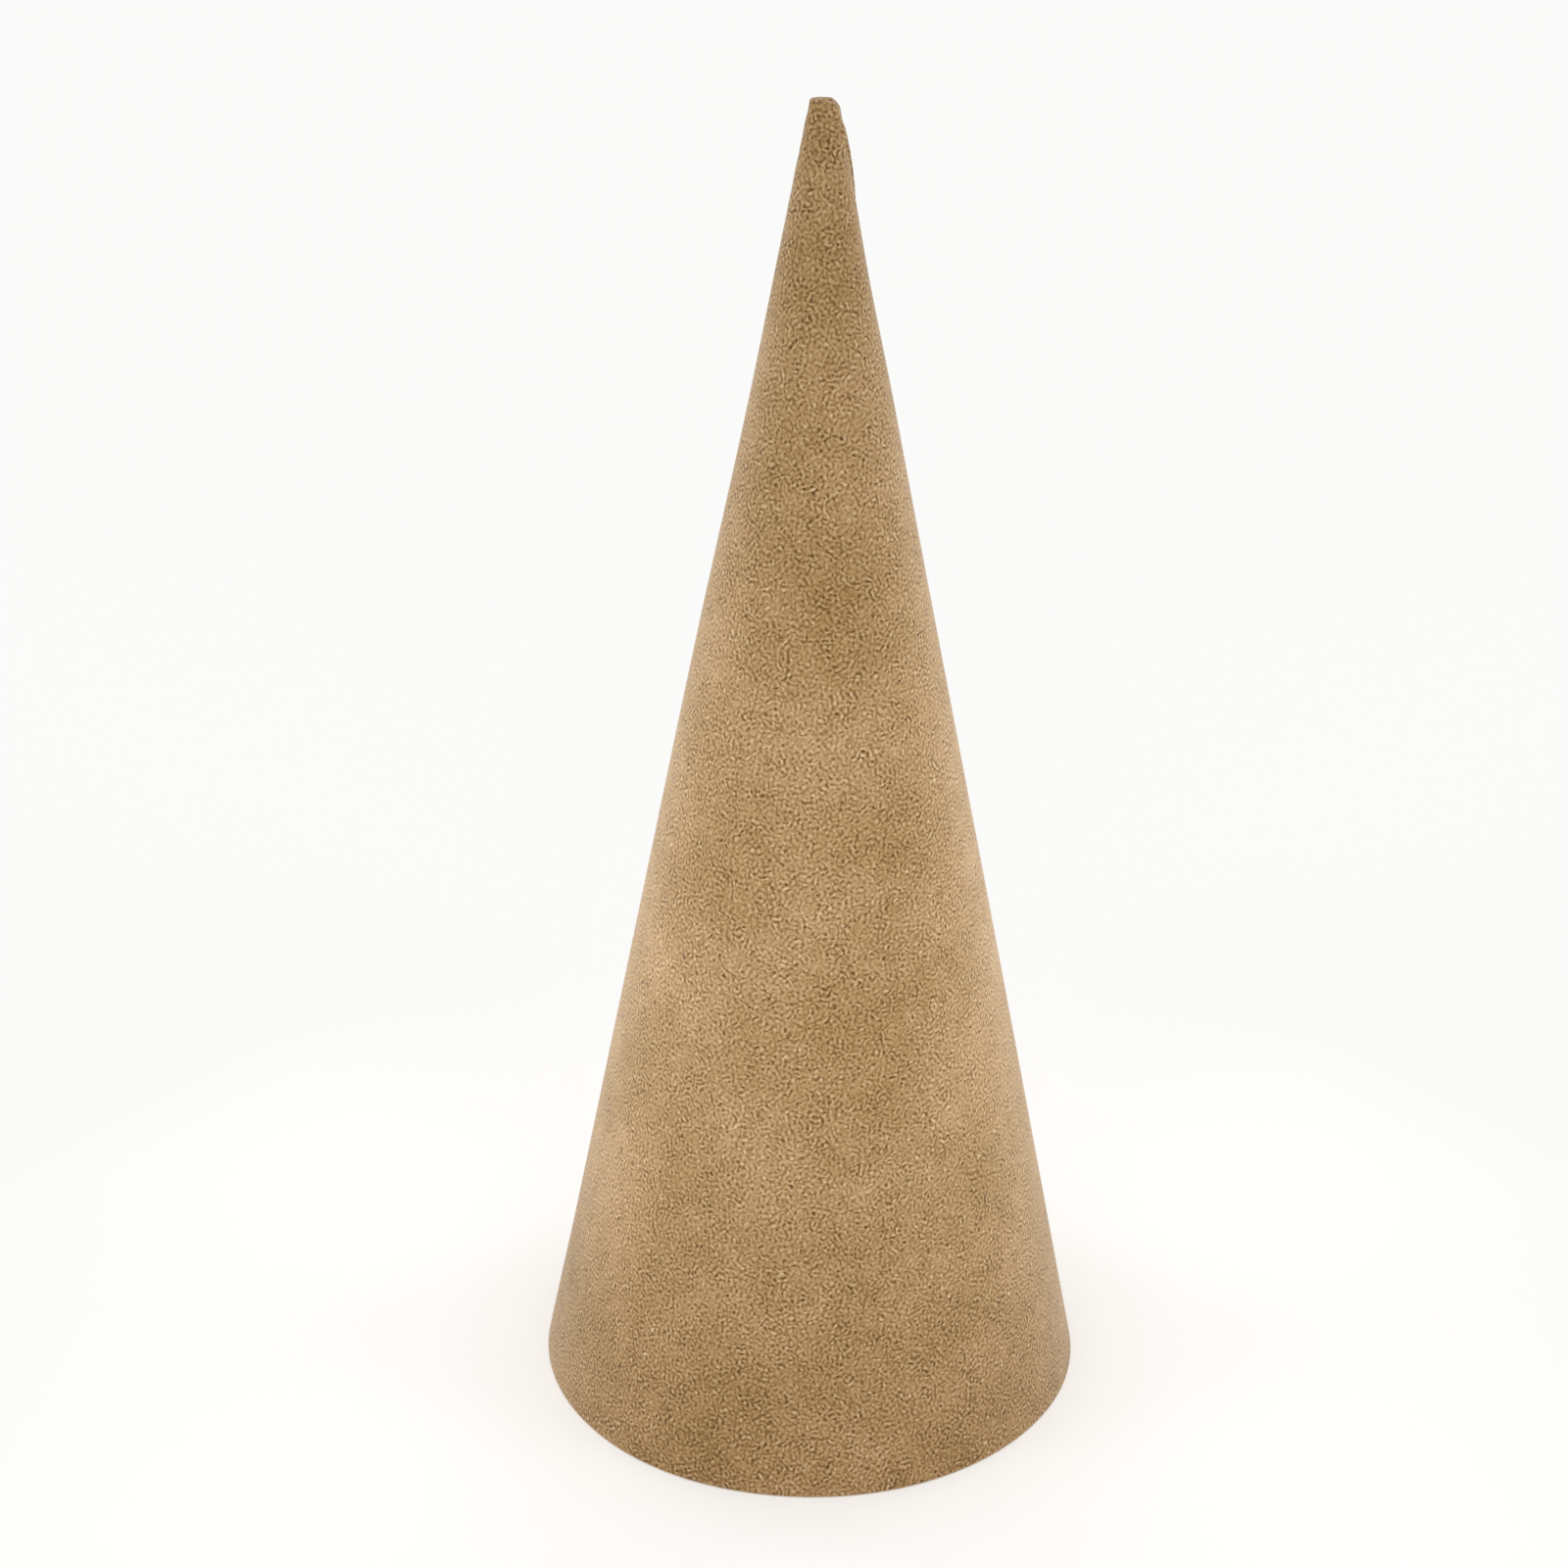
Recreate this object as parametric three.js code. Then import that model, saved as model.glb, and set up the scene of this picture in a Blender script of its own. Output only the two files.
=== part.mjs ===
// A rolled kraft cone that stands on its wide end. One sector of kraft board is glued and wound round a
// pointed mandrel, each turn on the one before, then the tip is pressed shut and the wide end is cut flat.
// The wall's section is that of the wound sheet: its last turn laps over the edge of its first, so the
// outside has a lap that ends in a cut edge, and the inside has the first turn's cut edge.
// Millimetres, +Z up. The origin is the centre of the wide end, on the surface that the cone stands on.

import * as THREE from "three";
import { LoftGeometry } from "three/addons/geometries/LoftGeometry.js";

// Outside form
const HEIGHT = 178;
const BASE_DIAMETER = 76;
const TIP_DIAMETER = 3.3; // across the top of the tip, before its edge is rounded
const TIP_CROWN = 0.15; // how far the middle of the tip stands above its edge
const TIP_ROUND_CRISP = 0.3; // rounding of the tip's edge on its crisp side, -X
const TIP_ROUND_SOFT = 1.2; // rounding of the tip's edge on its softer side, +X

// Wound wall
const PLY = 0.45; // thickness of the sheet, square to the wall
const TURNS = 4; // turns of the sheet that make up the wall outside the lap
const LAP_DEGREES = 18; // how far the last turn runs past the first turn's edge
const CLIMB_DEGREES = 7; // stretch over which a turn climbs onto the first turn's edge
const CUT_EDGE_DEGREES = 0.4; // spread of a cut edge's face round the cone
const SEAM_DEGREES = 105; // place of the outer cut edge on the base, from +X towards +Y
const SEAM_MISS = 5; // how far the line of a cut edge passes from the cone's point, on the flat sheet

// Ends of the wall
const HOLLOW_END_DIAMETER = 2.2; // the mandrel's blunt point, where the hollow closes below the solid tip
const HOLLOW_END_ROUND = 0.8; // rounding of the mandrel's point
const RIM_ROUND = 0.25; // rounding of the two edges of the cut rim

// Facets
const PLAIN_STEPS = 64; // round the single wall
const CLIMB_STEPS = 4;
const LAP_STEPS = 4;
const OUTER_LEVELS = 18; // up the outside
const INNER_LEVELS = 12; // down the inside
const ARC_STEPS = 3; // round each rounded edge

const { degToRad, lerp, smoothstep } = THREE.MathUtils;
const HALF_ANGLE = Math.atan((BASE_DIAMETER - TIP_DIAMETER) / 2 / HEIGHT);
const outerRadius = (z) => BASE_DIAMETER / 2 - z * Math.tan(HALF_ANGLE);
const heightAtRadius = (radius) => (BASE_DIAMETER / 2 - radius) / Math.tan(HALF_ANGLE);
const measuredLevel = (thickness) => thickness / Math.cos(HALF_ANGLE); // of the leaning wall

// A cut edge is a straight line on the flat sheet, and it passes beside the sheet's point. On the cone it
// runs almost straight up from the base and then winds round the tip. The turn is how far it still is from
// the direction that it would take far below.
const SINE = Math.sin(HALF_ANGLE);
const turnAt = (z) => Math.asin((SEAM_MISS * SINE) / outerRadius(z)) / SINE;
const heightAtTurn = (turn) => heightAtRadius((SEAM_MISS * SINE) / Math.sin(turn * SINE));
const azimuthAt = (z) => degToRad(SEAM_DEGREES) + turnAt(0) - turnAt(z);

// Points of a profile between two heights, closer together where the cut edge winds faster.
function stretch(radiusAt, start, end, count) {
  const [first, last] = [start, end].map((z) => Math.sqrt(turnAt(z)));
  const points = [];
  for (let i = 1; i < count; i++) {
    const z = heightAtTurn(lerp(first, last, i / count) ** 2);
    points.push(new THREE.Vector2(radiusAt(z), z));
  }
  return points;
}

// The columns of the wall, counterclockwise from the outer cut edge seen from above. Each has its angle from
// that edge, and how many plies it stands out of the plain wall on the outside and draws back on the inside.
function wallColumns() {
  const halfEdge = degToRad(CUT_EDGE_DEGREES) / 2;
  const innerEdge = 2 * Math.PI - degToRad(LAP_DEGREES);
  const climbStart = innerEdge - degToRad(CLIMB_DEGREES);
  const climb = (angle) => smoothstep(angle, climbStart, innerEdge - halfEdge);
  const columns = [];
  for (let i = 0; i < PLAIN_STEPS; i++) {
    columns.push({ angle: lerp(halfEdge, climbStart, i / PLAIN_STEPS), outside: 0, inside: 0 });
  }
  for (let i = 0; i <= CLIMB_STEPS; i++) {
    const angle = lerp(climbStart, innerEdge - halfEdge, i / CLIMB_STEPS);
    columns.push({ angle, outside: climb(angle), inside: climb(angle) });
  }
  for (let i = 0; i <= LAP_STEPS; i++) {
    const angle = lerp(innerEdge + halfEdge, 2 * Math.PI - halfEdge, i / LAP_STEPS);
    columns.push({ angle, outside: 1, inside: 0 });
  }
  return columns;
}

// The arc that rounds a corner of a profile, from its start on one side to its end on the other.
function roundedCorner(before, corner, after, radius) {
  const back = before.clone().sub(corner).normalize();
  const on = after.clone().sub(corner).normalize();
  const half = Math.acos(back.dot(on)) / 2;
  const toCentre = back.clone().add(on).setLength(radius / Math.sin(half));
  const centre = corner.clone().add(toCentre);
  const start = back.multiplyScalar(radius / Math.tan(half)).sub(toCentre);
  const end = on.multiplyScalar(radius / Math.tan(half)).sub(toCentre);
  const sweep = Math.atan2(start.cross(end), start.dot(end));
  const pivot = new THREE.Vector2();
  const points = [];
  for (let i = 0; i <= ARC_STEPS; i++) {
    points.push(start.clone().rotateAround(pivot, (sweep * i) / ARC_STEPS).add(centre));
  }
  return points;
}

// The outline of the wall in one column, as radius and height: from the axis at the hollow's closed end down
// the inside, round the rim, up the outside and over the tip back to the axis.
function wallProfile(column) {
  const outside = (z) => outerRadius(z) + measuredLevel(PLY * column.outside);
  const inside = (z) => outerRadius(z) - measuredLevel(PLY * (TURNS - column.inside));
  const hollowTop = heightAtRadius(HOLLOW_END_DIAMETER / 2 + measuredLevel(PLY * TURNS));
  const shoulder = HEIGHT - TIP_CROWN;

  const hollowEnd = new THREE.Vector2(0, hollowTop);
  const hollowCorner = new THREE.Vector2(inside(hollowTop), hollowTop);
  const rimInside = new THREE.Vector2(inside(0), 0);
  const rimOutside = new THREE.Vector2(outside(0), 0);
  const tipCorner = new THREE.Vector2(outside(shoulder), shoulder);
  const tipTop = new THREE.Vector2(0, HEIGHT);

  const towardsSoftSide = (1 + Math.cos(azimuthAt(shoulder) + column.angle)) / 2;
  const tipRound = lerp(TIP_ROUND_CRISP, TIP_ROUND_SOFT, towardsSoftSide);

  return [
    hollowEnd,
    ...roundedCorner(hollowEnd, hollowCorner, rimInside, HOLLOW_END_ROUND),
    ...stretch(inside, hollowTop - HOLLOW_END_ROUND, 0, INNER_LEVELS),
    ...roundedCorner(hollowCorner, rimInside, rimOutside, RIM_ROUND),
    ...roundedCorner(rimInside, rimOutside, tipCorner, RIM_ROUND),
    ...stretch(outside, 0, shoulder - TIP_ROUND_SOFT, OUTER_LEVELS),
    ...roundedCorner(rimOutside, tipCorner, tipTop, tipRound),
    tipTop,
  ];
}

// A point of a column's profile in space. The columns follow the cut edge as it winds.
function place(point, column) {
  const azimuth = azimuthAt(point.y) + column.angle;
  return new THREE.Vector3(point.x * Math.cos(azimuth), point.x * Math.sin(azimuth), point.y);
}

function woundShell() {
  const columns = wallColumns();
  const profiles = columns.map(wallProfile);
  const sections = profiles[0].map((_, i) => columns.map((column, j) => place(profiles[j][i], column)));
  return new LoftGeometry(sections);
}

const kraftBoard = new THREE.MeshStandardMaterial({ color: 0xaf8d62, roughness: 0.9, metalness: 0 });

const shell = new THREE.Mesh(woundShell(), kraftBoard);
shell.name = "cone_shell";

const cone = new THREE.Group();
cone.add(shell);

export default cone;
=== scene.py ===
import math

import bpy
import numpy as np
from mathutils import Matrix, Vector, noise


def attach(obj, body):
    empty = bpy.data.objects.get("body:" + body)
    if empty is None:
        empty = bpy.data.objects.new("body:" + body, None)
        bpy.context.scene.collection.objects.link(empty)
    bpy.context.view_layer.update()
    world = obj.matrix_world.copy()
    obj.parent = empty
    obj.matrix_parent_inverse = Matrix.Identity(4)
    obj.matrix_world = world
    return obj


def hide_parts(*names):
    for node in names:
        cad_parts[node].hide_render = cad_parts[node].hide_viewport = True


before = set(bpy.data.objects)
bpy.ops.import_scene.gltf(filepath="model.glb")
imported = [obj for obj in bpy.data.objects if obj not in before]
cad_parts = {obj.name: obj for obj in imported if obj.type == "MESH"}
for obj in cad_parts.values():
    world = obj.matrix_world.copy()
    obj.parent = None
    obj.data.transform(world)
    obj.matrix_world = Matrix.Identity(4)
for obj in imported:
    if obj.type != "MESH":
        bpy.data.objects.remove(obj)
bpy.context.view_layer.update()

MM = 0.001

# The camera of the photograph, found from the outline of the cone in it. It stands a third of a metre in
# front of the cone and a little above its tip, looks down at it, and is a third of a degree off level.
CAMERA_PLACE = (-4.30 * MM, -333.93 * MM, 231.68 * MM)
CAMERA_PITCH = math.radians(23.329)
CAMERA_ROLL = math.radians(0.344)
camera = bpy.data.objects.new("camera", bpy.data.cameras.new("camera"))
camera.data.sensor_width = 36.0
camera.data.lens = 62.33
camera.matrix_world = (
    Matrix.Translation(CAMERA_PLACE)
    @ Matrix.Rotation(math.radians(90) - CAMERA_PITCH, 4, "X")
    @ Matrix.Rotation(CAMERA_ROLL, 4, "Z")
)
bpy.context.scene.collection.objects.link(camera)
bpy.context.scene.camera = camera

# The cone. A sector of kraft board is glued and wound four times round a pointed mandrel, and its last turn
# laps over the edge of its first. The tip is pressed shut, and the wide end is cut flat and left open.
# The wall is drawn as a profile and spun, and its points then move to where the wound sheet has them.
HEIGHT = 178 * MM
BASE_RADIUS = 38 * MM
TIP_RADIUS = 1.65 * MM
TIP_CROWN = 0.15 * MM  # how far the middle of the tip stands above its edge
TIP_ROUND = 0.85 * MM
TIP_ROUND_CHANGE = 0.60 * MM  # the tip is crisper than that on its -X side and softer on its +X side
PLY = 0.45 * MM  # thickness of the sheet
TURNS = 4  # of the sheet, outside the lap
HOLLOW_END_RADIUS = 1.1 * MM
HOLLOW_END_ROUND = 0.8 * MM
RIM_ROUND = 0.25 * MM
LAP = math.radians(18)  # how far the last turn runs past the first one's edge
CLIMB = math.radians(7)  # stretch over which a turn climbs onto the first one's edge
SEAM = math.radians(105)  # place of the outer cut edge on the base, from +X towards +Y
SEAM_MISS = 5 * MM  # how far the line of a cut edge passes from the point of the flat sheet

half_angle = math.atan((BASE_RADIUS - TIP_RADIUS) / HEIGHT)
slope = math.tan(half_angle)
sine = math.sin(half_angle)
ply_level = PLY / math.cos(half_angle)  # thickness of a ply measured level, as the wall leans
wall_level = TURNS * ply_level
shoulder = HEIGHT - TIP_CROWN
hollow_top = (BASE_RADIUS - HOLLOW_END_RADIUS - wall_level) / slope


def outer_radius(z):
    return BASE_RADIUS - z * slope


SAME = 0.01 * MM  # points closer than this are taken as in one place


def near(a, b):
    return abs(a - b) < SAME


def select_points(thing, wanted):
    """Leaves edit mode on, with only the points selected whose x and z are wanted."""
    bpy.ops.object.mode_set(mode="EDIT")
    bpy.ops.mesh.select_mode(type="VERT")
    bpy.ops.mesh.select_all(action="DESELECT")
    bpy.ops.object.mode_set(mode="OBJECT")
    for point in thing.data.vertices:
        point.select = wanted(point.co.x, point.co.z)
    bpy.ops.object.mode_set(mode="EDIT")
    bpy.ops.mesh.select_mode(type="VERT")


# The profile's points, from the axis at the hollow's closed end down the inside, across the rim, up the
# outside and over the tip. The heights part each side into stretches, with closer rings where more winds.
TIP_START = 170 * MM
PARTINGS = (100 * MM, 150 * MM, TIP_START)
hollow_corner = (HOLLOW_END_RADIUS, hollow_top)
inside_corner = (BASE_RADIUS - wall_level, 0)
outside_corner = (BASE_RADIUS, 0)
tip_corner = (outer_radius(shoulder), shoulder)
route = [(0, hollow_top), hollow_corner]
route += [(outer_radius(z) - wall_level, z) for z in reversed(PARTINGS[:2])]
route += [inside_corner, outside_corner]
route += [(outer_radius(z), z) for z in PARTINGS]
route += [tip_corner, (0, HEIGHT)]

bpy.ops.object.select_all(action="DESELECT")
bpy.ops.mesh.primitive_plane_add(size=1 * MM, location=(0, 0, hollow_top))
cone = bpy.context.object
cone.name = "wound_cone"
cone.data.name = "wound_cone"
bpy.ops.object.transform_apply(location=True, rotation=True, scale=True)
bpy.ops.object.mode_set(mode="EDIT")
bpy.ops.mesh.select_all(action="SELECT")
bpy.ops.mesh.merge(type="CENTER")
for here, there in zip(route, route[1:]):
    step = Vector((there[0] - here[0], 0, there[1] - here[1]))
    bpy.ops.mesh.extrude_region_move(TRANSFORM_OT_translate={"value": step})

# Each corner is rounded. An edge gives up this length of itself to a rounding of radius 1.
blunt = math.tan(math.pi / 4 - half_angle / 2)
sharp = 1 / blunt
arc_in = tip_corner[0] - TIP_ROUND * blunt
roundings = (
    (hollow_corner, HOLLOW_END_ROUND * blunt, 6),
    (inside_corner, RIM_ROUND * blunt, 4),
    (outside_corner, RIM_ROUND * sharp, 4),
    (tip_corner, TIP_ROUND * blunt, 8),
)
for (corner_x, corner_z), reach, steps in roundings:
    select_points(cone, lambda x, z: near(x, corner_x) and near(z, corner_z))
    bpy.ops.mesh.bevel(offset=reach, segments=steps, affect="VERTICES")


def cut_stretch(on_side, low, high, cuts):
    """Cuts the straight edge whose ends are the first points at or past low and at or before high."""
    heights = [p.co.z for p in cone.data.vertices if on_side(p.co.x, p.co.z)]
    bottom = min(z for z in heights if z > low - SAME)
    top = max(z for z in heights if z < high + SAME)
    select_points(cone, lambda x, z: on_side(x, z) and (near(z, bottom) or near(z, top)))
    bpy.ops.mesh.subdivide(number_cuts=cuts)
    bpy.ops.object.mode_set(mode="OBJECT")


def on_outside(x, z):
    return near(x, outer_radius(z))


def on_inside(x, z):
    return near(x, outer_radius(z) - wall_level)


bpy.ops.object.mode_set(mode="OBJECT")
for on_side, low, high, cuts in (
    (on_outside, 0, PARTINGS[0], 39),
    (on_outside, PARTINGS[0], PARTINGS[1], 24),
    (on_outside, PARTINGS[1], TIP_START, 19),
    (on_outside, TIP_START, shoulder, 13),
    (on_inside, 0, PARTINGS[0], 16),
    (on_inside, PARTINGS[0], PARTINGS[1], 12),
    (on_inside, PARTINGS[1], hollow_top, 10),
):
    cut_stretch(on_side, low, high, cuts)

# The rim gets enough rings for a glue line between each two plies. The tip's top and the hollow's end, which
# are nearly flat, get a few.
hollow_arc_in = HOLLOW_END_RADIUS - HOLLOW_END_ROUND * blunt
for wanted, cuts in (
    (lambda x, z: near(z, 0), 25),
    (lambda x, z: z > shoulder and x < arc_in + SAME, 4),
    (lambda x, z: near(z, hollow_top) and x < hollow_arc_in + SAME, 1),
):
    select_points(cone, wanted)
    bpy.ops.mesh.subdivide(number_cuts=cuts)

# Columns of the wall, counterclockwise from the outer cut edge seen from above: each one's angle from that
# edge, how far past that angle it lies along the surface, and how many plies it stands out of the plain wall
# on the outside and draws back on the inside. The two cut edges have close columns, and a soft top corner.
# Their steps are in millimetres past the edge and in plies.
EDGE_STEPS = ((-0.45, 1), (-0.2, 0.98), (-0.07, 0.86), (0.05, 0.1), (0.14, 0), (0.4, 0))
CLEAR = math.radians(3)  # kept free next to an edge for its close columns
PLAIN_COLUMNS, CLIMB_COLUMNS, LAP_COLUMNS = 340, 11, 15
inner_edge = 2 * math.pi - LAP
climb_start = inner_edge - CLEAR - CLIMB
columns = [(0, gap * MM, share, 0) for gap, share in EDGE_STEPS[3:]]
columns += [(angle, 0, 0, 0) for angle in np.linspace(CLEAR, climb_start, PLAIN_COLUMNS)]
for share in np.linspace(0, 1, CLIMB_COLUMNS + 1)[1:]:
    raised = share * share * (3 - 2 * share)
    columns.append((climb_start + share * CLIMB, 0, raised, raised))
columns += [(inner_edge, gap * MM, 1, share) for gap, share in EDGE_STEPS]
lap_angles = np.linspace(inner_edge + CLEAR, 2 * math.pi - CLEAR, LAP_COLUMNS)
columns += [(angle, 0, 1, 0) for angle in lap_angles]
columns += [(2 * math.pi, gap * MM, share, 0) for gap, share in EDGE_STEPS[:3]]
columns = np.array(columns)
COLUMNS = len(columns)

MERGED = 0.001 * MM  # points closer than this become one
bpy.ops.mesh.select_all(action="SELECT")
bpy.ops.mesh.spin(steps=COLUMNS, angle=2 * math.pi, center=(0, 0, 0), axis=(0, 0, 1))
bpy.ops.mesh.select_all(action="SELECT")
bpy.ops.mesh.remove_doubles(threshold=MERGED)
bpy.ops.mesh.normals_make_consistent(inside=False)
bpy.ops.mesh.select_all(action="DESELECT")
bpy.ops.object.mode_set(mode="OBJECT")

# The points as drawn: distance from the axis, height and column, with what the column says of each.
mesh = cone.data
drawn = np.empty(len(mesh.vertices) * 3)
mesh.vertices.foreach_get("co", drawn)
drawn = drawn.reshape(-1, 3)
radius = np.hypot(drawn[:, 0], drawn[:, 1])
height = drawn[:, 2].copy()
turn = np.arctan2(drawn[:, 1], drawn[:, 0]) / (2 * math.pi)
column = np.rint(turn * COLUMNS).astype(int) % COLUMNS
angle, gap, raised, drawn_back = columns[column].T

# Where each point is: how many plies in from the outside, on the pressed tip or its top, inside the hollow,
# or on the cut rim.
HAIR = 0.01  # in plies, the least that counts as in from a surface
inwards = (outer_radius(height) - radius) / ply_level
on_hollow_end = (height < hollow_top + SAME) & (radius < HOLLOW_END_RADIUS + 0.2 * MM)
on_tip = (height > TIP_START + SAME) & ~on_hollow_end
is_top = on_tip & (inwards > HAIR)
is_inside = (inwards > TURNS - HAIR) & ~on_tip & (height > SAME)
is_rim = (inwards > HAIR) & (inwards < TURNS - HAIR) & (height < RIM_ROUND * 2)


def wind(z):
    """Angle that a cut edge has turned through at a height, from its place on the base."""
    turn_here = np.arcsin(np.clip(SEAM_MISS * sine / outer_radius(z), 0, 1)) / sine
    turn_base = math.asin(SEAM_MISS * sine / BASE_RADIUS) / sine
    return turn_base - turn_here


# The tip's rounding is fitted to each side, by stretching what was drawn about the corner of the profile.
# The wall then ends, and the top begins, where the rounding does.
side = np.cos(SEAM + wind(shoulder) + angle)
fit = 1 + side * TIP_ROUND_CHANGE / TIP_ROUND
arc_low = shoulder - TIP_ROUND * blunt * math.cos(half_angle)
tip_wall = on_tip & ~is_top
tip_arc = is_top & (radius > arc_in + 2 * SAME)
tip_flat = is_top & ~tip_arc
new_low = shoulder - (shoulder - arc_low) * fit
new_in = tip_corner[0] - TIP_ROUND * blunt * fit
share = (height - TIP_START) / (arc_low - TIP_START)
height = np.where(tip_wall, TIP_START + share * (new_low - TIP_START), height)
radius = np.where(tip_wall, outer_radius(height), radius)
radius = np.where(tip_arc, tip_corner[0] + (radius - tip_corner[0]) * fit, radius)
height = np.where(tip_arc, shoulder + (height - shoulder) * fit, height)
radius = np.where(tip_flat, radius / arc_in * new_in, radius)
height = np.where(tip_flat, HEIGHT - TIP_CROWN * radius / tip_corner[0], height)


def rise(values, start, end):
    """0 up to start, 1 from end on, and in proportion between."""
    return np.clip((values - start) / (end - start), 0, 1)


# The lap. The outside stands out and the inside draws back, and the press flattens the step on the tip.
PRESS_START, PRESS_END = 160 * MM, 174 * MM
PRESSED_AWAY = 0.45  # share of the step that the press takes away
across = rise(inwards, 0, TURNS)
out = raised * (1 - across) + drawn_back * across
out = np.where(on_tip, raised * rise(radius / outer_radius(height), 0, 1), out)
out = np.where(is_inside, drawn_back * rise(radius / (outer_radius(height) - wall_level), 0, 1), out)
pressed = rise(height, PRESS_START, PRESS_END)
moved_radius = radius + out * ply_level * (1 - PRESSED_AWAY * pressed * ~is_inside)

# Wound board is never quite round. The wall bows in and out by a tenth of a millimetre or two, in waves with
# this depth in millimetres, number round the cone, turn per millimetre up, and start.
NARROW = 9 * MM  # radius of the cone below which the columns of a cut edge draw together
azimuth = SEAM + wind(height) + angle + gap / np.maximum(radius, NARROW)
for depth, waves, lean, start in (
    (0.10, 2, 0.018, 0.6),
    (0.06, 3, -0.031, 2.0),
    (0.03, 7, 0.055, 4.0),
):
    bow = depth * np.sin(waves * azimuth + lean * height / MM + start)
    moved_radius += bow * MM * rise(radius, 0, 12 * MM)


def swell(middle, reach):
    """1 at the middle and less away from it, both given as heights in millimetres."""
    return np.exp(-(((height / MM - middle) / reach) ** 2))


# Slower faults of this cone, in millimetres, seen in its outline. Its -X side is full at the base and hollow
# three quarters of the way up, its +X side is hollow below the tip, and the tip has spread to that side.
minus_x = (1 - np.cos(azimuth)) / 2
plus_x = 1 - minus_x
spread_out = rise(height, 167 * MM, 176 * MM)
spread_out = spread_out ** 2 * (3 - 2 * spread_out)
faults = minus_x * (0.24 * swell(0, 14) - 0.30 * swell(138, 22))
faults += plus_x * (0.13 * spread_out - 0.22 * swell(156, 10))
moved_radius += faults * MM * rise(radius, 0, 1.5 * MM)

# The last few millimetres are creased where they were pressed, coarsely and, half as deep, finely.
COARSE, FINE = 1.3 * MM, 0.6 * MM
WALL_CREASE, TOP_CREASE = 0.07 * MM, 0.05 * MM
creases = np.zeros(len(height))
places = np.stack([moved_radius * np.cos(azimuth), moved_radius * np.sin(azimuth), height], axis=1)
for i in np.nonzero((pressed > 0) & ~is_inside)[0]:
    place = Vector(places[i])
    creases[i] = noise.noise(place / COARSE) + 0.5 * noise.noise(place / FINE)
moved_radius += WALL_CREASE * creases * pressed * ~is_top
height += TOP_CREASE * creases * is_top

# On top of the tip the cut edge goes on as a low step that coils in to the middle.
COIL = 1.6  # radians
COIL_STEP = 0.12 * MM
azimuth -= COIL * (1 - rise(radius, 0, tip_corner[0])) * is_top
height += COIL_STEP * raised * rise(radius, 0, 0.8 * MM) * is_top

# The rim shows the plies end on. Glue lines between them are shallow grooves, which step out by a ply
# where the sheet climbs over its first edge.
GLUE_REACH = 0.16  # half the width of a glue line's groove, in plies
GLUE_DEPTH = 0.09 * MM
NEAR_FACE = 0.3  # in plies from a face of the wall, where no glue line can be
plies_here = TURNS + raised - drawn_back
level = across * plies_here - raised  # plies in from the plain outside
climbed = np.where(angle < inner_edge - CLEAR / 2, raised, 0)
glue = np.zeros(len(height))
for ply in range(TURNS + 1):
    line = ply - climbed
    in_wall = (line > NEAR_FACE - raised) & (line < TURNS - drawn_back - NEAR_FACE)
    glue = np.maximum(glue, in_wall * (1 - rise(np.abs(level - line), 0, GLUE_REACH)))
glue *= is_rim
height += GLUE_DEPTH * glue

moved = np.stack([moved_radius * np.cos(azimuth), moved_radius * np.sin(azimuth), height], axis=1)
mesh.vertices.foreach_set("co", moved.ravel())
mesh.update()

bpy.context.view_layer.objects.active = cone
cone.select_set(True)
bpy.ops.object.shade_smooth_by_angle(angle=math.radians(40))
cone.select_set(False)

# Marks on the points for the material: where the board is cut through, on the rim and the faces of the two
# cut edges, and where its glue shows.
by_edge = gap != 0
outer_cut = by_edge & ~is_inside & (raised > 0.05) & (raised < 0.97)
inner_cut = by_edge & is_inside & (drawn_back > 0.05) & (drawn_back < 0.97)
cut = is_rim | outer_cut | inner_cut
for name, values in (("cut_through", cut), ("glue_line", glue)):
    mark = mesh.attributes.new(name, "FLOAT", "POINT")
    mark.data.foreach_set("value", values.astype(np.float32))

# A flat map of the sheet in metres, unrolled from the cone as it was cut, with its point at 0 and the inside
# further out. The rim and the tip's top, which face down and up, are mapped as seen from there instead, the
# top close to the sheet's point, where the board is as dark as the tip's.
INSIDE_PLACE = 0.2
RIM_PLACE = 0.3
TOP_PLACE = 0.012
corner_point = np.empty(len(mesh.loops), int)
mesh.loops.foreach_get("vertex_index", corner_point)
corners = np.empty(len(mesh.polygons), int)
mesh.polygons.foreach_get("loop_total", corners)
facing = np.empty(len(mesh.polygons) * 3)
mesh.polygons.foreach_get("normal", facing)
facing = facing.reshape(-1, 3)
middle = np.empty(len(mesh.polygons) * 3)
mesh.polygons.foreach_get("center", middle)
middle = middle.reshape(-1, 3)
face = np.repeat(np.arange(len(corners)), corners)

# A face that joins the last column to the first has corners a whole turn apart, which are brought together.
corner_column = column[corner_point]
off_axis = radius[corner_point] > MERGED
highest = np.zeros(len(corners), int)
np.maximum.at(highest, face, np.where(off_axis, corner_column, 0))
a_turn_behind = highest[face] - corner_column > COLUMNS // 2
corner_azimuth = azimuth[corner_point] + a_turn_behind * 2 * math.pi

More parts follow.
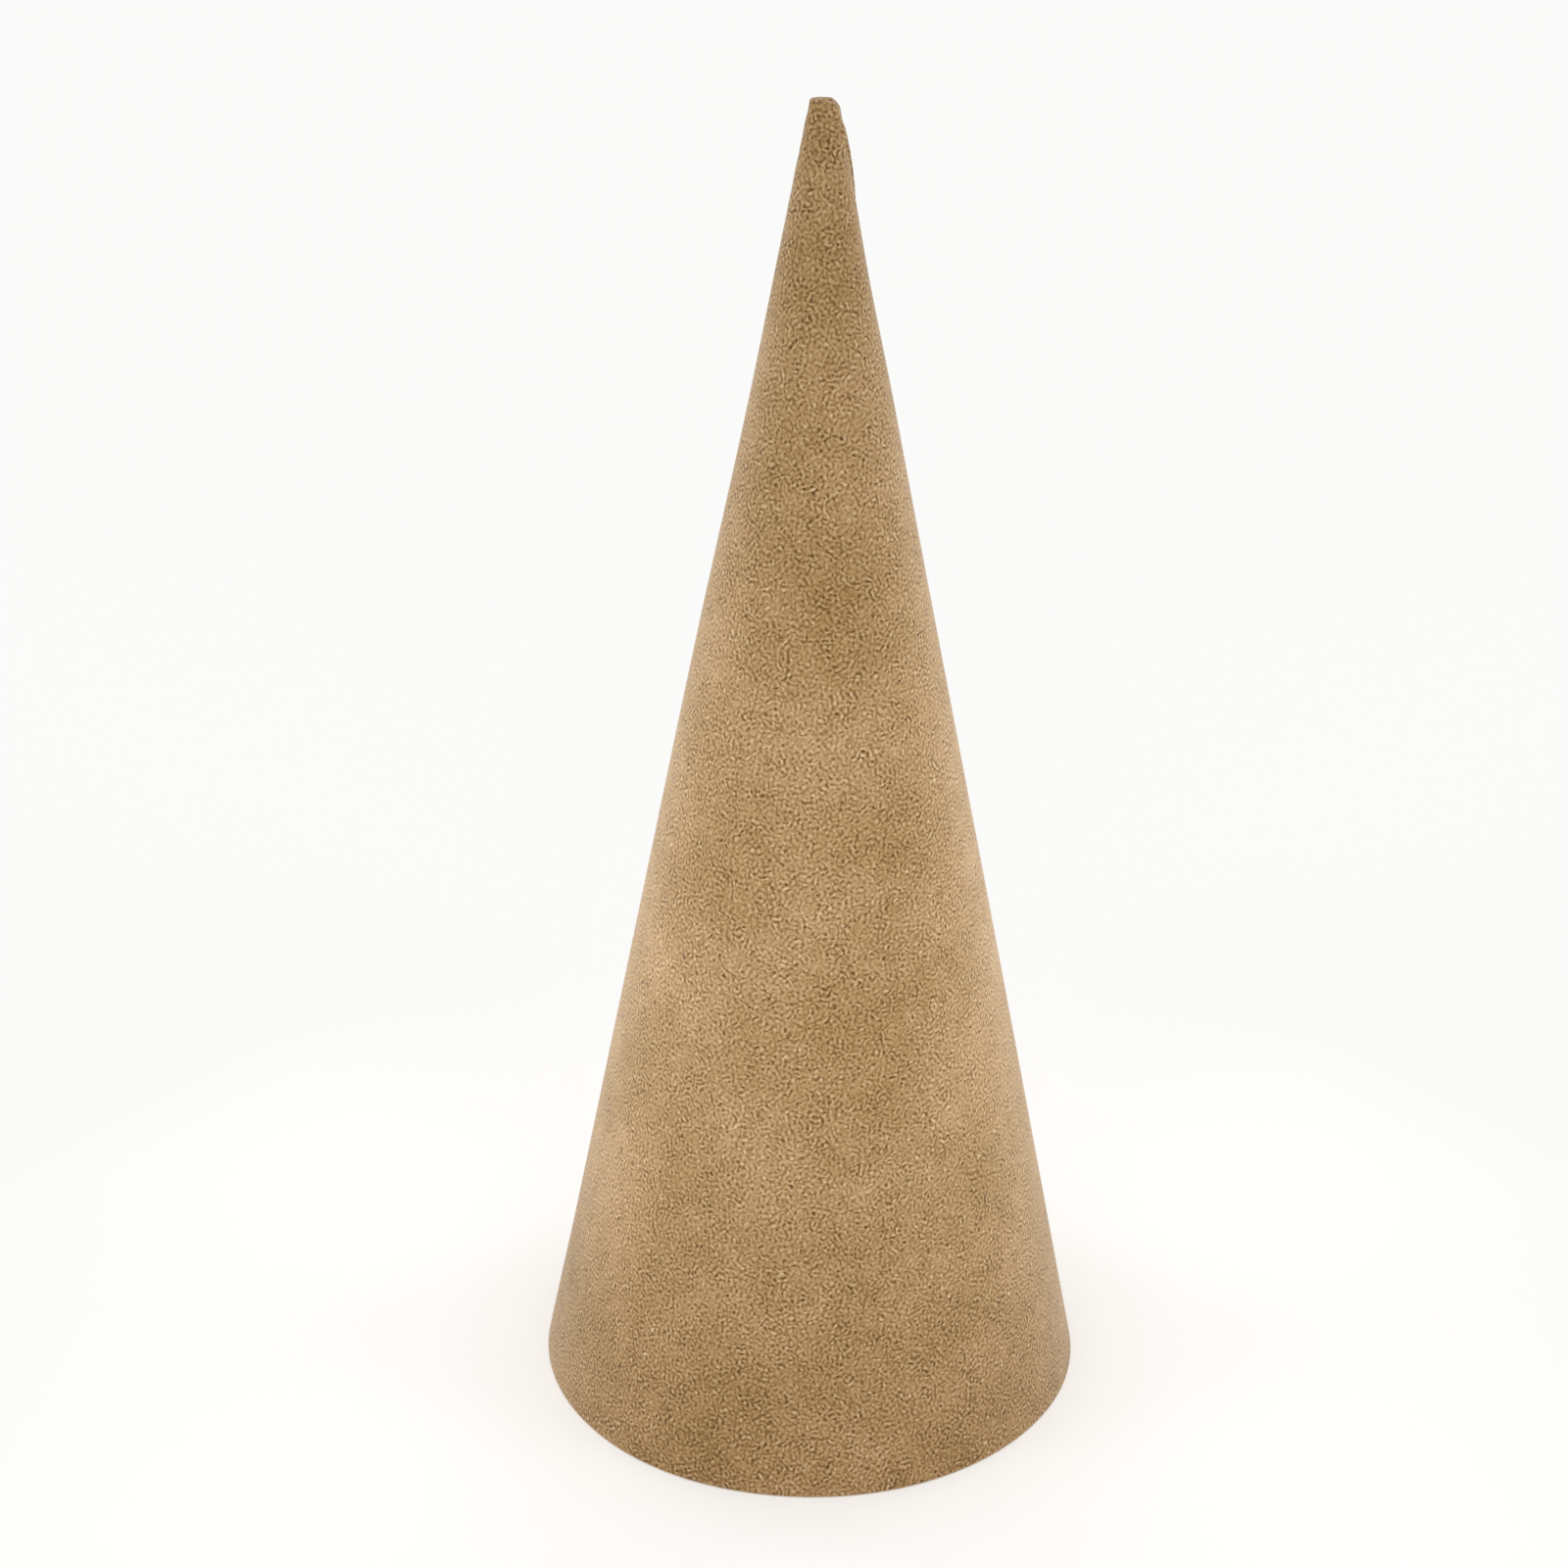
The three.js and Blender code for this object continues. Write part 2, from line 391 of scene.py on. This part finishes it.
faces_in = (facing * middle * [1, 1, 0]).sum(axis=1) < 0
faces_level = np.abs(facing[:, 2]) > 0.7
slant = outer_radius(moved[corner_point, 2]) / sine + faces_in[face] * INSIDE_PLACE
across_map = slant * np.cos(corner_azimuth * sine)
up_map = slant * np.sin(corner_azimuth * sine)
level_place = np.where(moved[:, 2] > HEIGHT / 2, TOP_PLACE, RIM_PLACE)
across_map = np.where(faces_level[face], (moved[:, 0] + level_place)[corner_point], across_map)
up_map = np.where(faces_level[face], moved[corner_point, 1], up_map)
flat_map = np.stack([across_map, up_map], axis=1)
mesh.uv_layers.new(name="sheet").data.foreach_set("uv", flat_map.astype(np.float32).ravel())

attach(cone, "root")
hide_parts("cone_shell")


def linear(colour):
    """An sRGB hex value such as "af8d62" as linear RGBA."""
    channels = [int(colour[i:i + 2], 16) / 255 for i in (0, 2, 4)]
    return [c / 12.92 if c <= 0.04045 else ((c + 0.055) / 1.055) ** 2.4 for c in channels] + [1]


def add(kind, inputs, **settings):
    """Adds a node to the tree. inputs gives its sockets a value, or a node or socket to link from."""
    node = tree.nodes.new("ShaderNode" + kind)
    for name, value in settings.items():
        setattr(node, name, value)
    for name, value in inputs.items():
        if isinstance(value, bpy.types.Node):
            value = value.outputs[0]
        if isinstance(value, bpy.types.NodeSocket):
            tree.links.new(value, node.inputs[name])
        else:
            node.inputs[name].default_value = value
    return node


# Kraft linerboard, unbleached softwood pulp that is pressed and left uncoated. It is matt and a warm mid
# brown, with a felt of short curly fibres, cloudy patches, and a few dark bark specks and pale shives.
kraft = bpy.data.materials.new("kraft_linerboard_uncoated")
kraft.use_nodes = True
tree = kraft.node_tree
tree.nodes.clear()
sheet = add("UVMap", {}, uv_map="sheet")
flat = add("VectorMath", {0: sheet, 1: (1000, 1000, 0)}, operation="MULTIPLY")  # in millimetres

# Clouds of the pulp, from how it settles on the wire: 6 to 25 mm across, with mottle of 1 to 3 mm in them.
clouds = add("TexNoise", {"Vector": flat, "Scale": 1 / 16, "Detail": 2, "Roughness": 0.45})
mottle = add("TexNoise", {"Vector": flat, "Scale": 1 / 3.2, "Detail": 3, "Roughness": 0.6})

# The felt: short fibres that lie every way, drawn as curly waves 0.7 mm from one to the next, bent by up to
# 0.3 mm, and plainer where the mottle is dark. Real fibres are 0.04 mm wide, which is too fine to show from
# here, so the felt and the grain of fibre ends, 0.26 mm, are both drawn coarser.
curl = add("TexNoise", {"Vector": flat, "Scale": 1 / 0.9, "Detail": 1})
aside = add("VectorMath", {0: curl.outputs["Color"], 1: (-0.5, -0.5, -0.5)}, operation="ADD")
curled = add("VectorMath", {0: aside, 1: (0.6, 0.6, 0), 2: flat}, operation="MULTIPLY_ADD")
felt = add(
    "TexGabor",
    {"Vector": curled, "Scale": 1 / 1.05, "Frequency": 1.5, "Anisotropy": 0},
    gabor_type="2D",
)
wave = add("Math", {0: felt, 1: 0.5}, operation="SUBTRACT")
plainness = add("MapRange", {
    "Value": mottle,
    "From Min": 0.3,
    "From Max": 0.7,
    "To Min": 3.4,
    "To Max": 1.8,
})
felt_tone = add("Math", {0: wave, 1: plainness}, operation="MULTIPLY")
grain = add("TexNoise", {"Vector": flat, "Scale": 1 / 0.26, "Detail": 1})

# What lies scattered in the felt, with one to a cell or none: the size of the cells, its half length and
# half width in millimetres, the share of cells that has one, and how far its layer is shifted. A shive is a
# bundle of fibres that came through the pulping whole.
SCATTERED = {
    "short dark fibre": (1.20, 0.70, 0.16, 0.40, (0, 0)),
    "long dark fibre": (2.40, 1.40, 0.13, 0.40, (13, 71)),
    "pale fibre": (1.30, 0.60, 0.15, 0.40, (97, 5)),
    "bark speck": (4.50, 0.26, 0.20, 0.40, (211, 43)),
    "bark splinter": (11.0, 0.60, 0.16, 0.30, (31, 7)),
    "shive": (8.00, 0.45, 0.16, 0.40, (57, 301)),
}
marks = {}
for name, (cell, length, width, fill, offset) in SCATTERED.items():
    at = add("VectorMath", {0: curled, 1: (*offset, 0)}, operation="ADD")
    cells = add("TexVoronoi", {"Vector": at, "Scale": 1 / cell}, voronoi_dimensions="2D")
    chance = add("SeparateColor", {0: cells.outputs["Color"]})
    away = add("VectorMath", {0: at, 1: cells.outputs["Position"]}, operation="SUBTRACT")
    lie = add("Math", {0: chance, 1: math.pi}, operation="MULTIPLY")
    turned = add("VectorRotate", {"Vector": away, "Angle": lie}, rotation_type="Z_AXIS")
    drawn_out = add("VectorMath", {0: turned, 1: (1 / length, 1 / width, 0)}, operation="MULTIPLY")
    reach = add("VectorMath", {0: drawn_out}, operation="LENGTH").outputs["Value"]
    body = add("MapRange", {"Value": reach, "From Min": 1, "From Max": 0.4}, interpolation_type="SMOOTHSTEP")
    there = add("Math", {0: chance.outputs[1], 1: fill}, operation="LESS_THAN")
    seen = add("Math", {0: body, 1: there}, operation="MULTIPLY")
    strength = add("MapRange", {"Value": chance.outputs[2], "To Min": 0.35, "To Max": 1})
    marks[name] = add("Math", {0: seen, 1: strength}, operation="MULTIPLY")

# Painted shade: the board is made darker towards the tip, and a little towards the end that it stands on,
# where the light falls off. Places are millimetres from the sheet's point.
from_point = add("VectorMath", {0: flat}, operation="LENGTH").outputs["Value"]
tip_painted_shade = add(
    "MapRange",
    {"Value": from_point, "From Min": 36, "From Max": 8},
    interpolation_type="SMOOTHSTEP",
)
base_painted_shade = add("MapRange", {"Value": from_point, "From Min": 150, "From Max": 190})

# The tone, from -1 to 1 about the middle brown, is the sum of what each pattern gives at 0 and at 1.
tone = felt_tone
for pattern, at_none, at_full in (
    (clouds, -0.22, 0.22),
    (mottle, -0.30, 0.30),
    (grain, -0.42, 0.42),
    (marks["short dark fibre"], 0.04, -0.45),
    (marks["long dark fibre"], 0.02, -0.50),
    (marks["pale fibre"], -0.05, 0.55),
    # painted shade, darker towards the tip and towards the base
    (tip_painted_shade, 0, -0.10),
    (base_painted_shade, 0, -0.20),
):
    given = add("MapRange", {"Value": pattern, "To Min": at_none, "To Max": at_full}, clamp=False)
    tone = add("Math", {0: tone, 1: given}, operation="ADD")
shade = add("MapRange", {"Value": tone, "From Min": -1, "From Max": 1})
ramp = add("ValToRGB", {0: shade})
stops = ramp.color_ramp.elements
stops[0].color = linear("583812")
stops[1].color = linear("d0b691")
for position, colour in ((0.25, "7e5c2e"), (0.5, "a28052"), (0.75, "ba9b72")):
    stops.new(position).color = linear(colour)

# The clouds are yellower where they are dark and greyer where they are pale, and bark and shives lie on top.
FACTOR, A, B, MIXED = 0, 6, 7, 2  # sockets of a Mix node for colours, by number
hue = add(
    "Mix",
    {FACTOR: clouds, A: (0.87, 0.86, 0.70, 1), B: (1.13, 1.14, 1.30, 1)},
    data_type="RGBA",
).outputs[MIXED]
board = add("Mix", {FACTOR: 1, A: ramp, B: hue}, data_type="RGBA", blend_type="MULTIPLY").outputs[MIXED]
for name, colour in (("bark speck", "4a3018"), ("bark splinter", "3c2614"), ("shive", "dcc49c")):
    board = add("Mix", {FACTOR: marks[name], A: board, B: linear(colour)}, data_type="RGBA").outputs[MIXED]

# Where the board is cut through, its core is a little paler and greyer, and the glue between plies is dark.
cut_mark = add("Attribute", {}, attribute_name="cut_through").outputs["Fac"]
glue_mark = add("Attribute", {}, attribute_name="glue_line").outputs["Fac"]
core = add("Mix", {FACTOR: 0.45, A: board, B: linear("c4a678")}, data_type="RGBA").outputs[MIXED]
board = add("Mix", {FACTOR: cut_mark, A: board, B: core}, data_type="RGBA").outputs[MIXED]
board = add("Mix", {FACTOR: glue_mark, A: board, B: linear("5e4426")}, data_type="RGBA").outputs[MIXED]

# The surface is matt, with a faint pale sheen at a low angle from loose fibre ends. Its pale parts stand up
# by a few hundredths of a millimetre.
relief = add("Bump", {"Height": shade, "Distance": 0.04 * MM, "Strength": 0.6})
shader = add("BsdfPrincipled", {
    "Base Color": board,
    "Normal": relief,
    "Roughness": 0.82,
    "IOR": 1.5,
    "Specular IOR Level": 0.34,
    "Sheen Weight": 0.25,
    "Sheen Roughness": 0.5,
    "Sheen Tint": linear("fffaf0"),
})
add("OutputMaterial", {"Surface": shader})
mesh.materials.append(kraft)

# The floor, a plain sheet of white paper far wider than the view. The cone stands on it and gives it a
# faint soft shadow.
FLOOR_RADIUS = 6
bpy.ops.mesh.primitive_circle_add(vertices=64, radius=FLOOR_RADIUS, fill_type="NGON", location=(0, 0, 0))
floor = bpy.context.object
floor.name = "floor"
floor_paint = bpy.data.materials.new("white_paper_sweep")
floor_paint.use_nodes = True
floor_shader = floor_paint.node_tree.nodes["Principled BSDF"]
floor_shader.inputs["Base Color"].default_value = linear("fcfcfb")
floor_shader.inputs["Roughness"].default_value = 0.9
floor.data.materials.append(floor_paint)

# The light: a bright white room, a wide soft light overhead, and four small soft lamps that stand round the
# cone, a little below the middle of its height.
ROOM_STRENGTH = 0.84
OVERHEAD_STRENGTH = 0.15 * math.pi
LAMP_POWER = 0.017
LAMP_WIDTH = 70 * MM
LAMP_TALL = 110 * MM
LAMP_DISTANCE = 160 * MM
LAMP_HEIGHT = 74 * MM
world = bpy.data.worlds.new("white_room")
world.use_nodes = True
world.node_tree.nodes["Background"].inputs["Color"].default_value = (1, 1, 1, 1)
world.node_tree.nodes["Background"].inputs["Strength"].default_value = ROOM_STRENGTH
bpy.context.scene.world = world
for name, bearing in (("front_left", 212), ("front_right", 328), ("back_right", 32), ("back_left", 148)):
    glow = bpy.data.lights.new("lamp_" + name, "AREA")
    glow.shape = "RECTANGLE"
    glow.size = LAMP_WIDTH
    glow.size_y = LAMP_TALL
    glow.spread = math.radians(80)
    glow.energy = LAMP_POWER
    lamp = bpy.data.objects.new("lamp_" + name, glow)
    outwards = Vector((math.cos(math.radians(bearing)), math.sin(math.radians(bearing)), 0))
    lamp.location = outwards * LAMP_DISTANCE + Vector((0, 0, LAMP_HEIGHT))
    lamp.rotation_mode = "QUATERNION"
    lamp.rotation_quaternion = (-outwards).to_track_quat("-Z", "Y")
    lamp.visible_camera = False
    bpy.context.scene.collection.objects.link(lamp)
overhead = bpy.data.objects.new("overhead", bpy.data.lights.new("overhead", "SUN"))
overhead.data.energy = OVERHEAD_STRENGTH
overhead.data.angle = math.radians(25)
bpy.context.scene.collection.objects.link(overhead)
bpy.context.scene.view_settings.view_transform = "Standard"
